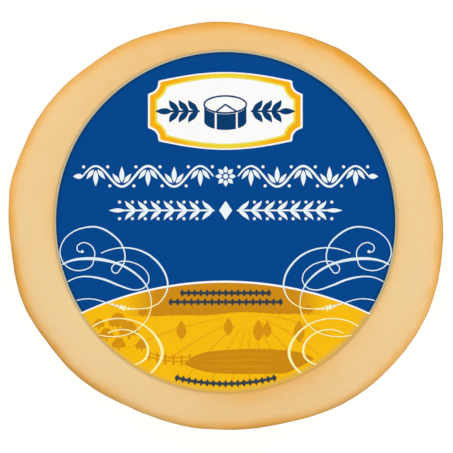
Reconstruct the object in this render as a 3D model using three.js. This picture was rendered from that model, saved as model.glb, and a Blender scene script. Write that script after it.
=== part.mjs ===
// A small smoked provolone: one pressed disc of stretched-curd cheese that lies on its back, with a round
// printed label stuck on its upper face. Millimetres, +Z up, the origin under the middle of the disc.
import * as THREE from "three";

// --- Driving dimensions ---

const cheese = {
  halfWidth: 65.3, // along X, at the widest level
  halfDepth: 61.5, // along Y
  thickness: 36, // from the flat under face to the shoulder of the upper face
  crown: 0.9, // how far the upper face rises from its shoulder to its middle
  belly: 16.5, // height of the widest level, below the middle because the soft disc has settled
};

// The rim rounds over in two quarters that meet at the belly. inset is how far in from the outline a quarter
// reaches, and squareness is the power of its superellipse: 2 is round, and more is squarer.
const upperRim = { inset: 13, squareness: 2.35 };
const underRim = { inset: 10, squareness: 2.6 };

// Draining in a hand-filled mould leaves the outline a little off its ellipse. Each lobe is a wave of that many
// crests round the disc, that high, with one crest at the angle given in degrees from +X.
const lobes = [
  { crests: 1, height: 0.28, at: -8 },
  { crests: 2, height: 0.5, at: -35 },
  { crests: 3, height: 0.3, at: -55 },
  { crests: 4, height: 0.45, at: -45 },
  { crests: 6, height: 0.15, at: -20 },
];

const label = {
  radius: 49.9,
  centre: new THREE.Vector2(0.15, 0.87), // it was stuck on a little off the middle
  thickness: 0.3,
  gap: 0.3, // clearance from the cheese, so that the two solids never touch
};

const facets = { around: 120, rimQuarter: 11, upperFace: 6, label: 5 };

const colours = { rind: "#e9bd7c", label: "#01478d" };

// --- The outline and the rim ---

/** Distance from the Z axis to the outline, at an angle from +X in radians. */
function outlineRadius(angle) {
  const { halfWidth: a, halfDepth: b } = cheese;
  const ellipse = (a * b) / Math.hypot(b * Math.cos(angle), a * Math.sin(angle));
  return lobes.reduce(
    (radius, lobe) =>
      radius + lobe.height * Math.cos(lobe.crests * (angle - THREE.MathUtils.degToRad(lobe.at))),
    ellipse,
  );
}

/** One quarter of the rim as [share of its inset, share of its height] pairs, from the belly inwards. */
function rimQuarter({ squareness }) {
  return Array.from({ length: facets.rimQuarter + 1 }, (_, step) => {
    const turn = (step / facets.rimQuarter) * (Math.PI / 2);
    const power = 2 / squareness;
    return [1 - Math.cos(turn) ** power, Math.sin(turn) ** power];
  });
}

/** Height of the crowned upper face inside its shoulder, at a share of the way from the axis to the shoulder. */
function crownedHeight(share) {
  return cheese.thickness + cheese.crown * Math.cos((share * Math.PI) / 2) ** 2;
}

/** Height of the upper side of the cheese above the point (x, y). */
function upperHeight(x, y) {
  const outline = outlineRadius(Math.atan2(y, x));
  const shoulder = outline - upperRim.inset;
  const radius = Math.hypot(x, y);
  if (radius <= shoulder) return crownedHeight(radius / shoulder);
  const reach = (radius - shoulder) / upperRim.inset;
  const { squareness } = upperRim;
  return cheese.belly + (cheese.thickness - cheese.belly) * (1 - reach ** squareness) ** (1 / squareness);
}

// --- The two solids ---

/** Turns a profile about +Z. Its points are (radius, height), from the bottom of the axis round to the top. */
function turned(profile) {
  return new THREE.LatheGeometry(profile, facets.around).rotateX(Math.PI / 2);
}

/** Moves each vertex of a geometry to where place(x, y, z) says. */
function reshape(geometry, place) {
  const position = geometry.getAttribute("position");
  for (let i = 0; i < position.count; i++) {
    position.setXYZ(i, ...place(position.getX(i), position.getY(i), position.getZ(i)));
  }
  geometry.computeVertexNormals();
  return geometry;
}

/** The cheese: a round disc turned to the rim's profile, then pressed out to the lobed outline. */
function makeCheese() {
  const nominal = cheese.halfWidth;
  const under = rimQuarter(underRim)
    .map(([inset, height]) => new THREE.Vector2(nominal - underRim.inset * inset, cheese.belly * (1 - height)))
    .reverse();
  const upper = rimQuarter(upperRim)
    .slice(1)
    .map(
      ([inset, height]) =>
        new THREE.Vector2(
          nominal - upperRim.inset * inset,
          cheese.belly + (cheese.thickness - cheese.belly) * height,
        ),
    );
  const shoulder = nominal - upperRim.inset;
  const face = Array.from({ length: facets.upperFace }, (_, step) => {
    const share = 1 - (step + 1) / facets.upperFace;
    return new THREE.Vector2(shoulder * share, crownedHeight(share));
  });
  const profile = [new THREE.Vector2(0, 0), ...under, ...upper, ...face];

  // Outside the shoulder a point keeps its distance from the outline, and inside it keeps its share of the way.
  return reshape(turned(profile), (x, y, z) => {
    const angle = Math.atan2(y, x);
    const radius = Math.hypot(x, y);
    const outline = outlineRadius(angle);
    const pressed =
      radius > shoulder ? radius + outline - nominal : (radius / shoulder) * (outline - upperRim.inset);
    return [pressed * Math.cos(angle), pressed * Math.sin(angle), z];
  });
}

/** The label: a thin round sheet that follows the upper face all over, at the gap above it. */
function makeLabel() {
  const rings = Array.from({ length: facets.label + 1 }, (_, ring) => (label.radius * ring) / facets.label);
  const profile = [
    ...rings.map((radius) => new THREE.Vector2(radius, 0)),
    ...rings.map((radius) => new THREE.Vector2(radius, label.thickness)).reverse(),
  ];
  return reshape(turned(profile), (x, y, z) => {
    const [onX, onY] = [x + label.centre.x, y + label.centre.y];
    return [onX, onY, z + label.gap + upperHeight(onX, onY)];
  });
}

/** A named mesh with its own material. */
function piece(name, geometry, color, roughness) {
  const mesh = new THREE.Mesh(geometry, new THREE.MeshStandardMaterial({ color, roughness, metalness: 0 }));
  mesh.name = name;
  return mesh;
}

const provolone = new THREE.Group();
provolone.add(
  piece("cheese", makeCheese(), colours.rind, 0.5),
  piece("label", makeLabel(), colours.label, 0.35),
);

export default provolone;
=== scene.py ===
"""A small smoked provolone: a soft-edged pressed disc lying on its back, with a round printed label.

Sizes are in millimetres until a mesh is made, and Blender gets metres. +Z is up, +Y is towards the top of the
label, and the origin is under the middle of the disc. The label carries a generic print: a blue field over a
gold one, a cartouche, two leaf ornaments, pen flourishes and a farmed hillside.
"""

import logging
import math
from collections.abc import Sequence
from dataclasses import dataclass, replace
from enum import Enum
from functools import cached_property

import bmesh
import bpy
import numpy as np
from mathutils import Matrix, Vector


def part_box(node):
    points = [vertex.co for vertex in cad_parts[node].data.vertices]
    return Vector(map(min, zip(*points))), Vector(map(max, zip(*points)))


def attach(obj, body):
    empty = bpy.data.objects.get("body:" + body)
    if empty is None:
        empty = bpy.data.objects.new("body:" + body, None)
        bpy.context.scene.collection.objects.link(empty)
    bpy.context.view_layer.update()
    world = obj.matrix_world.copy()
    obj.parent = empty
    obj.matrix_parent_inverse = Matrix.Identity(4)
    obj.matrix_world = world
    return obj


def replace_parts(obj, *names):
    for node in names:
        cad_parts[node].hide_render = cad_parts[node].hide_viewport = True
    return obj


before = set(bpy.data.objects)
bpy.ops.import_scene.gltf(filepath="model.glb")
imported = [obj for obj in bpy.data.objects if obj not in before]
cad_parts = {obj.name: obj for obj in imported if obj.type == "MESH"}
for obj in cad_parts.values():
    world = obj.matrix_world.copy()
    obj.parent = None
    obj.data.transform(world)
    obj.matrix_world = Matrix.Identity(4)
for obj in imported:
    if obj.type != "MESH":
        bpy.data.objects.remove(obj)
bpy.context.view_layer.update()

MM = 0.001
FULL_TURN = 2 * math.pi
TINY = 1e-9  # keeps a divisor off zero
WELD = 1e-7  # points nearer than this become one, in metres
SHARP_TURN = math.radians(35)  # faces that turn more than this meet in a sharp edge
NOISE_SPAN = (0.3, 0.7)  # where most noise lies
BODY = "root"
LOG = logging.getLogger("provolone")

Array = np.ndarray
Colour = tuple[int, int, int]
Point = tuple[float, float]
Triple = tuple[float, float, float]
Bump = tuple[float, float, float, float]  # features in a metre, octaves, strength and depth in millimetres
Solid = tuple[Array, Array]
Socket = bpy.types.NodeSocket
Value = Socket | float | tuple[float, ...]


class Slot(Enum):
    """The material slots, which each finish names."""

    RIND = "rind"
    PAPER = "label_paper"
    BLUE = "ink_blue"
    GOLD = "ink_gold"
    OCHRE = "ink_ochre"
    WHITE = "ink_white"
    PALE = "ink_pale"
    NAVY = "ink_navy"


class Layer(Enum):
    """The films of ink, from the paper up. The value counts films."""

    FIELD = 1
    FIRST = 2
    SECOND = 3
    THIRD = 4
    FOURTH = 5
    FIFTH = 6
    PEN = 7


class Side(Enum):
    """Which half of the label a mirrored ornament is on, as the sign that its x is multiplied by."""

    LEFT = -1
    RIGHT = 1


# --- Shader helpers ---


@dataclass(frozen=True)
class Grain:
    """Noise that is fixed to the object, and the range that most of it is stretched over."""

    fineness: float  # features in a metre
    octaves: float
    low: float = 0.0
    high: float = 1.0


def linear(colour: Colour) -> tuple[float, float, float, float]:
    """Turn an sRGB colour into linear light.

    Args:
        colour: Red, green and blue from 0 to 255.

    Returns:
        The linear red, green and blue, with an alpha of 1.
    """
    share = np.array(colour) / 255
    light = np.where(share <= 0.04045, share / 12.92, ((share + 0.055) / 1.055) ** 2.4)
    return (*light.tolist(), 1.0)


def fill_ramp(ramp: bpy.types.Node, stops: Sequence[tuple[float, Sequence[float]]]) -> None:
    """Give a colour ramp its stops.

    Args:
        ramp: The ramp's node.
        stops: Each stop's place, from 0 to 1, and its linear colour.
    """
    elements = ramp.color_ramp.elements
    while len(elements) < len(stops):
        elements.new(0.5)
    for element, (at, colour) in zip(elements, stops):
        element.position, element.color = at, colour


class Shader:
    """One material's node tree, with short calls that add nodes and join them."""

    def __init__(self, name: str) -> None:
        """Start a material that holds only a Principled surface.

        Args:
            name: The material's name.
        """
        self.material = bpy.data.materials.new(name)
        self.material.use_nodes = True
        self.tree = self.material.node_tree
        self.surface = self.tree.nodes["Principled BSDF"]
        self.place = self.node("ShaderNodeTexCoord").outputs["Object"]

    def feed(self, target: Socket, value: Value) -> None:
        """Give an input a constant, or join it to another node's output.

        Args:
            target: The input.
            value: The constant or the output.
        """
        if isinstance(value, Socket):
            self.tree.links.new(value, target)
        else:
            target.default_value = value

    def set(self, **values: Value) -> None:
        """Feed the surface's own inputs, by name with _ for a space."""
        for key, value in values.items():
            self.feed(self.surface.inputs[key.replace("_", " ")], value)

    def node(self, kind: str, *inputs: Value, **values: object) -> bpy.types.Node:
        """Add a node.

        Args:
            kind: The node's type.
            inputs: What its first inputs get, in order.
            values: Its settings, and what other inputs get, by name with _ for a space.

        Returns:
            The new node.
        """
        made = self.tree.nodes.new(kind)
        for key, value in values.items():
            if hasattr(made, key):
                setattr(made, key, value)
            else:
                self.feed(made.inputs[key.replace("_", " ")], value)
        for target, value in zip(made.inputs, inputs):
            self.feed(target, value)
        return made

    def attribute(self, name: str) -> Socket:
        """Read a number that the mesh has at each point."""
        return self.node("ShaderNodeAttribute", attribute_name=name).outputs["Fac"]

    def noise(self, fineness: float, octaves: float) -> Socket:
        """Add noise with that many features in a metre."""
        return self.node("ShaderNodeTexNoise", self.place, Scale=fineness, Detail=octaves).outputs["Fac"]

    def remap(self, value: Socket, **limits: float) -> Socket:
        """Stretch a value from one range over another, each from 0 to 1 where no limit is given."""
        return self.node("ShaderNodeMapRange", value, **limits).outputs["Result"]

    def grain(self, grain: Grain) -> Socket:
        """Add noise and stretch it over the grain's range.

        Args:
            grain: The kind of noise and the range.

        Returns:
            The stretched value.
        """
        noise = self.noise(grain.fineness, grain.octaves)
        low, high = NOISE_SPAN
        return self.remap(noise, From_Min=low, From_Max=high, To_Min=grain.low, To_Max=grain.high)

    def sum(self, first: Socket, second: Socket) -> Socket:
        """Add two values."""
        return self.node("ShaderNodeMath", first, second, operation="ADD").outputs[0]

    def ramp(self, value: Socket, stops: Sequence[tuple[float, Colour]]) -> Socket:
        """Colour a value through a ramp.

        Args:
            value: What is looked up.
            stops: Each stop's value, from 0 up, and its sRGB colour.

        Returns:
            The colour.
        """
        top = stops[-1][0]
        made = self.node("ShaderNodeValToRGB", self.remap(value, From_Max=top))
        fill_ramp(made, [(at / top, linear(colour)) for at, colour in stops])
        return made.outputs["Color"]

    def mix(self, share: Socket, first: Socket | Colour, second: Socket | Colour) -> Socket:
        """Mix two colours.

        Args:
            share: The second colour's share.
            first: The first colour.
            second: The second colour.

        Returns:
            The mixed colour.
        """
        made = self.node("ShaderNodeMix", share, data_type="RGBA")
        for target, colour in zip(made.inputs[6:8], (first, second)):  # its two colours
            self.feed(target, colour if isinstance(colour, Socket) else linear(colour))
        return made.outputs[2]

    def emboss(self, bumps: Sequence[Bump]) -> None:
        """Chain bumps of noise into the surface's normal.

        Args:
            bumps: The bumps in order.
        """
        normal = None
        for fineness, octaves, strength, depth in bumps:
            bump = self.node("ShaderNodeBump", Strength=strength, Distance=depth * MM)
            self.feed(bump.inputs["Height"], self.noise(fineness, octaves))
            if normal is not None:
                self.feed(bump.inputs["Normal"], normal)
            normal = bump.outputs["Normal"]
        self.set(Normal=normal)


# --- Finishes ---


@dataclass(frozen=True)
class RindFinish:
    """Smoked rind: creamy faces that turn golden, then orange, where the smoke reached the rim."""

    slot: Slot = Slot.RIND
    stops: tuple[tuple[float, Colour], ...] = (
        (0.0, (242, 209, 154)), (0.5, (241, 192, 121)), (1.0, (242, 179, 92)), (1.6, (236, 165, 58)),
    )
    clouds: Grain = Grain(70, 3, -0.06, 0.06)
    streaks: Grain = Grain(420, 4, -0.035, 0.035)
    bloom: Colour = (243, 214, 168)
    bloom_share: Grain = Grain(130, 5, -0.15, 0.14)
    shade: Colour = (136, 106, 56)  # the colour of painted shade along the rim, and of the painted shadow in the seam round the label
    roughness: Grain = Grain(240, 3, 0.42, 0.58)
    gloss: float = 0.06  # of clean rind
    dull_smoke: float = 0.4  # rind with this much smoke has no gloss
    glow: float = 0.1  # the share of the light that scatters under the surface
    glow_colour: Triple = (1.0, 0.55, 0.2)
    glow_depth: float = 2.0
    bumps: tuple[Bump, ...] = ((900, 3, 0.25, 0.12), (3200, 2, 0.2, 0.04))

    @cached_property
    def material(self) -> bpy.types.Material:
        """The material, which reads the mesh's smoke and shade attributes, and noise fixed to the object."""
        shader = Shader("smoked_rind")
        smoke = shader.attribute("smoke")
        uneven = shader.sum(shader.sum(smoke, shader.grain(self.clouds)), shader.grain(self.streaks))
        bloomed = shader.mix(shader.grain(self.bloom_share), shader.ramp(uneven, self.stops), self.bloom)
        shader.set(
            # the shade attribute mixes painted shade and painted shadow into the base colour
            Base_Color=shader.mix(shader.attribute("shade"), bloomed, self.shade),
            Roughness=shader.grain(self.roughness),
            Specular_IOR_Level=shader.remap(smoke, From_Max=self.dull_smoke, To_Min=self.gloss, To_Max=0.0),
            Subsurface_Weight=self.glow,
            Subsurface_Radius=self.glow_colour,
            Subsurface_Scale=self.glow_depth * MM,
        )
        shader.emboss(self.bumps)
        return shader.material


@dataclass(frozen=True)
class InkFinish:
    """A flat printing ink: an even colour with a slight grain, on a sheet that is faintly wavy."""

    name: str
    slot: Slot
    colour: Colour
    shade: Colour
    roughness: Grain = Grain(300, 2, 0.36, 0.44)
    grain: Grain = Grain(1500, 2)
    gloss: float = 0.05
    bumps: tuple[Bump, ...] = ((180, 2, 0.25, 0.12), (2600, 2, 0.15, 0.01))

    def tint(self, shader: Shader, colour: Socket) -> Socket:
        """Change the grained colour from place to place, which a plain ink doesn't."""
        return colour

    @cached_property
    def material(self) -> bpy.types.Material:
        """The material, which all pieces in this ink share."""
        shader = Shader(self.name)
        grained = shader.mix(shader.grain(self.grain), self.colour, self.shade)
        shader.set(Base_Color=self.tint(shader, grained), Roughness=shader.grain(self.roughness))
        shader.set(Specular_IOR_Level=self.gloss)
        shader.emboss(self.bumps)
        return shader.material


@dataclass(frozen=True)
class ZonedInkFinish(InkFinish):
    """An ink that turns into a second colour past a circle."""

    centre: Point = (0.0, 0.0)  # along X and Y
    radii: Point = (1.0, 2.0)  # where the turn starts and where it ends
    far_colour: Colour = (255, 255, 255)

    def tint(self, shader: Shader, colour: Socket) -> Socket:
        """Mix in the second colour by the distance from the centre.

        Args:
            shader: The shader that is being built.
            colour: The first colour.

        Returns:
            The mixed colour.
        """
        flat = shader.node("ShaderNodeVectorMath", shader.place, (1, 1, 0), operation="MULTIPLY")
        centre = (self.centre[0] * MM, self.centre[1] * MM, 0)
        away = shader.node("ShaderNodeVectorMath", flat.outputs[0], centre, operation="DISTANCE")
        near, far = self.radii
        share = shader.remap(away.outputs["Value"], From_Min=near * MM, From_Max=far * MM)
        return shader.mix(share, colour, self.far_colour)


WHITE_INK = InkFinish("white_ink", Slot.WHITE, (255, 255, 253), (251, 252, 250))
COOL_INK = InkFinish("cool_white_ink", Slot.WHITE, (240, 250, 253), (235, 246, 250))
NAVY_INK = InkFinish("navy_ink", Slot.NAVY, (6, 62, 112), (5, 58, 107))
SMALL_INK = InkFinish("small_print_ink", Slot.NAVY, (54, 68, 74), (50, 64, 70))


# --- Mesh helpers ---


def grid_faces(rows: int, columns: int, wrap: bool) -> Array:
    """List the quads of a grid of points.

    Args:
        rows: How many rows of points there are.
        columns: How many points a row has.
        wrap: True if each row closes on itself.

    Returns:
        Quads of point numbers, which count along the rows.
    """
    row = np.arange(rows - 1)[:, None] * columns
    column = np.arange(columns if wrap else columns - 1)[None, :]
    after = (column + 1) % columns
    corners = (row + column, row + after, row + columns + after, row + columns + column)
    return np.stack(corners, -1).reshape(-1, 4)


def slab(top: Array, bottom: Array, wrap: bool = False) -> Solid:
    """Close the space between two grids of points.

    Args:
        top: The upper grid, rows by columns by 3.
        bottom: The lower grid.
        wrap: True if each row closes on itself.

    Returns:
        The solid's points and quads.
    """
    rows, columns = top.shape[:2]
    count = rows * columns
    number = np.arange(count).reshape(rows, columns)
    if wrap:
        loops = [np.append(edge, edge[0]) for edge in (number[0], number[-1])]
    else:
        loops = [np.concatenate([number[0], number[1:, -1], number[-1, -2::-1], number[-2::-1, 0]])]
    sides = [np.stack([edge[:-1], edge[1:], edge[1:] + count, edge[:-1] + count], -1) for edge in loops]
    cover = grid_faces(rows, columns, wrap)
    points = np.concatenate([top.reshape(-1, 3), bottom.reshape(-1, 3)])
    return points, np.concatenate([cover, cover[:, ::-1] + count, *sides])


def add_object(name: str, data: bpy.types.ID) -> bpy.types.Object:
    """Put an object in the scene.

    Args:
        name: The object's name.
        data: Its mesh, camera or lamp.

    Returns:
        The object.
    """
    made = bpy.data.objects.new(name, data)
    bpy.context.scene.collection.objects.link(made)
    return made


def make_piece(
    name: str, solids: Sequence[Solid], finish: RindFinish | InkFinish, **attributes: Array
) -> bpy.types.Object:
    """Make one object of closed solids, which rides on the part's body.

    Args:
        name: The piece's name.
        solids: Each solid's points and quads.
        finish: What it is dressed in.
        attributes: A number for every point, by attribute name.

    Returns:
        The object, with doubled points merged and its faces pointing out.
    """
    starts = np.cumsum([0] + [len(points) for points, _ in solids])
    points = np.concatenate([points for points, _ in solids]) * MM
    quads = np.concatenate([quads + start for (_, quads), start in zip(solids, starts)])
    mesh = bpy.data.meshes.new(name)
    mesh.from_pydata(points, [], quads)
    for key, values in attributes.items():
        layer = mesh.attributes.new(key, "FLOAT", "POINT")
        layer.data.foreach_set("value", values.astype(np.float32).ravel())
    welded = bmesh.new()
    welded.from_mesh(mesh)
    bmesh.ops.remove_doubles(welded, verts=welded.verts, dist=WELD)
    bmesh.ops.recalc_face_normals(welded, faces=welded.faces)
    welded.to_mesh(mesh)
    welded.free()
    mesh.shade_smooth()
    mesh.set_sharp_from_angle(angle=SHARP_TURN)
    mesh.materials.append(finish.material)
    piece = add_object(name, mesh)
    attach(piece, BODY)
    LOG.info("%s: %d faces", name, len(mesh.polygons))
    return piece


# --- Formulas ---


def bell(x: Array) -> Array:
    """Work out exp(-x^2), a bell whose height is 1."""
    return np.exp(-(x**2))


def fall(start: float, distance: Array, half_way: Array | float, blur: float) -> Array:
    """Let a value fall from its start to 0 over a distance, as a logistic curve."""
    return start / (1 + np.exp((distance - half_way) / blur))


def around(count: int) -> Array:
    """List that many even steps of one turn, in radians from +X."""
    return np.linspace(0, FULL_TURN, count, endpoint=False)


def rays(angle: Array | float) -> Array:
    """Work out the cosines and sines of angles in radians, stacked on the last axis."""
    return np.stack([np.cos(angle), np.sin(angle)], -1)


def turn_off(angle: Array, middle: float) -> Array:
    """Work out the signed turn, in radians, from a middle to some angles."""
    return (angle - middle + math.pi) % FULL_TURN - math.pi


def unit(vectors: Array) -> Array:
    """Scale vectors, which lie on the last axis, to a length of 1."""
    return vectors / np.maximum(np.linalg.norm(vectors, axis=-1, keepdims=True), TINY)


# --- The cheese ---


@dataclass(frozen=True)
class Waves:
    """Soft unevenness: plane waves in random directions, with random lengths and phases, added together."""

    seed: int
    count: int
    lengths: Point
    height: float

    def at(self, points: Array) -> Array:
        """Work out the unevenness at some points.

        Args:
            points: The points, with x, y and z on the last axis.

        Returns:
            Heights whose root mean square is self.height.
        """
        draw = np.random.default_rng(self.seed)
        heading = unit(draw.normal(size=(self.count, 3)))
        length = np.exp(draw.uniform(*np.log(self.lengths), self.count))
        phase = draw.uniform(0, FULL_TURN, self.count)
        ripple = np.sin(points @ (heading * FULL_TURN / length[:, None]).T + phase)
        return self.height * math.sqrt(2 / self.count) * ripple.sum(-1)


@dataclass(frozen=True)
class Quarter:
    """A quarter of the rim: how far in it reaches from the outline, and the power of its superellipse."""

    inset: float
    squareness: float

    def curve(self, steps: int) -> tuple[Array, Array]:
        """Trace the quarter from the belly inwards.

        Args:
            steps: How many steps it takes.

        Returns:
            The inset times 1 - cos^p, and the share of the height, sin^p, where p is 2 / squareness.
        """
        turn = np.linspace(0, math.pi / 2, steps + 1)
        power = 2 / self.squareness
        return self.inset * (1 - np.clip(np.cos(turn), 0, 1) ** power), np.sin(turn) ** power


@dataclass(frozen=True)
class Stretch:
    """A stretch of the way round the disc, in degrees, where something is more or less than elsewhere."""

    at: float
    width: float
    gain: float
    reach: float = 1.0  # how far off, in millimetres, it has faded

    def weight(self, angle: Array) -> Array:
        """Work out the gain at some angles in radians, as a bell round the stretch's middle."""
        return self.gain * bell(turn_off(angle, math.radians(self.at)) / math.radians(self.width))


def gains(stretches: Sequence[Stretch], angle: Array) -> Array:
    """Add up what some stretches gain at some angles in radians."""
    return sum(stretch.weight(angle) for stretch in stretches)


@dataclass(frozen=True)
class Disc:
    """The pressed disc's form: an ellipse with low lobes and flats, a rounded rim and a crowned face."""

    half_width: float = 65.3
    half_depth: float = 61.5
    crown: float = 0.9
    belly: float = 16.5
    lobes: tuple[Triple, ...] = (  # crests round the disc, height, and one crest's angle
        (1, 0.28, -8), (2, 0.5, -35), (3, 0.3, -55), (4, 0.45, -45), (6, 0.15, -20),
    )
    flats: tuple[Stretch, ...] = (  # where the outline is pressed in or stands out a little
        Stretch(24, 5.5, -0.36), Stretch(35, 4, 0.15), Stretch(46.5, 5, -0.38), Stretch(57, 4, 0.16),
        Stretch(76, 8, -0.72), Stretch(106, 6, -0.15), Stretch(130, 8, -0.4), Stretch(159, 6, -0.25),
        Stretch(169, 4, 0.26), Stretch(186, 6, -0.38), Stretch(199, 5, 0.3), Stretch(214, 6.5, -0.48),
        Stretch(240, 7, -0.45), Stretch(259, 7, 0.28), Stretch(287, 10, -0.78), Stretch(320, 10, -0.2),
        Stretch(337, 7, 0.2), Stretch(352, 6, -0.12),
    )
    upper: Quarter = Quarter(13, 2.35)
    under: Quarter = Quarter(10, 2.6)
    dents: Waves = Waves(seed=11, count=22, lengths=(17, 46), height=0.15)
    settle: float = 5.0  # the dents fade out over this height above the flat under face
    quiet: float = 5.0  # they are weaker this near to the belly
    quiet_share: float = 0.7  # how much weaker

    @cached_property
    def shoulder(self) -> float:
        """The height of the upper face at its shoulder, where the rim starts."""
        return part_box("cheese")[1].z / MM - self.crown

    def outline(self, angle: Array) -> Array:
        """Work out the distance from the axis to the outline.

        Args:
            angle: Angles from +X in radians.

        Returns:
            The ellipse's radius, plus a cosine round the disc for each lobe, plus the flats.
        """
        a, b = self.half_width, self.half_depth
        radius = a * b / np.hypot(b * np.cos(angle), a * np.sin(angle))
        for crests, height, at in self.lobes:
            radius = radius + height * np.cos(crests * (angle - math.radians(at)))
        return radius + gains(self.flats, angle)

    def face_height(self, share: Array) -> Array:
        """Work out the crowned face's height, at a share of the way from the axis to the shoulder."""
        return self.shoulder + self.crown * np.cos(share * math.pi / 2) ** 2

    def smooth_height(self, x: Array, y: Array) -> Array:
        """Work out the height of the upper side, without dents, over points in plan.

        Args:
            x: Where the points are along X.
            y: Where they are along Y.

        Returns:
            The crowned face inside the shoulder, and the rim's superellipse outside it.
        """
        inner = self.outline(np.arctan2(y, x)) - self.upper.inset
        radius = np.hypot(x, y)
        reach = np.clip((radius - inner) / self.upper.inset, 0, 1)
        power = self.upper.squareness
        rim = self.belly + (self.shoulder - self.belly) * (1 - reach**power) ** (1 / power)
        return np.where(radius <= inner, self.face_height(np.clip(radius / inner, 0, 1)), rim)

    def dent_at(self, points: Array) -> Array:
        """Work out how far the dented surface stands out from the smooth one.

        Args:
            points: Points on the smooth one.

        Returns:
            The sum of the waves, which fades near the under face and the belly.
        """
        height = points[..., 2]
        fade = np.clip(height / self.settle, 0, 1)
        calm = 1 - self.quiet_share * bell((height - self.belly) / self.quiet)
        return self.dents.at(points) * fade * fade * (3 - 2 * fade) * calm

    def height(self, x: Array, y: Array) -> Array:
        """Work out the height of the dented upper side over points in plan."""
        smooth = self.smooth_height(x, y)
        return smooth + self.dent_at(np.stack([x, y, smooth], -1))


@dataclass(frozen=True)
class Skin:
    """The smooth disc as a grid of points, with each one's angle and its distance in from the outline."""

    points: Array
    angle: Array
    inwards: Array

    @property
    def height(self) -> Array:
        """Each point's height."""
        return self.points[..., 2]

    def normals(self) -> Array:
        """Work out the outward normals.

        Returns:
            The cross product of the steps round and up the surface, and straight down or up at the two poles.
        """
        across = np.roll(self.points, -1, 1) - np.roll(self.points, 1, 1)
        normal = unit(np.cross(across, np.gradient(self.points, axis=0)))
        normal[0], normal[-1] = (0, 0, -1), (0, 0, 1)
        return normal


@dataclass(frozen=True)
class Crease:
    """A shallow fold that runs round the side, between two angles in degrees."""

    start: float
    end: float
    height: float
    depth: float
    wander: float
    width: float = 0.7
    waves: tuple[Point, ...] = ((1, 9), (0.4, 23))  # its line's waves: share of the wander, and rate
    lip: float = 0.35  # the lip's height as a share of the depth
    lip_gap: float = 1.8  # its distance from the fold, in widths
    lip_width: float = 0.8

    def depth_at(self, skin: Skin) -> Array:
        """Work out how far the fold moves each point out.

        Args:
            skin: The smooth disc.

        Returns:
            A dip along a wandering line, with a low lip beside it, that fades out towards both ends.
        """
        half = math.radians(self.end - self.start) / 2
        turned = turn_off(skin.angle, math.radians((self.start + self.end) / 2))
        window = np.clip(1 - (turned / half) ** 2, 0, 1) ** 2
        line = self.height + self.wander * sum(share * np.sin(turned * rate) for share, rate in self.waves)
        across = (skin.height - line) / self.width
        lip = self.lip * np.exp(-((np.abs(across) - self.lip_gap) ** 2) / self.lip_width)
        return self.depth * window * (lip - bell(across))


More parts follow.
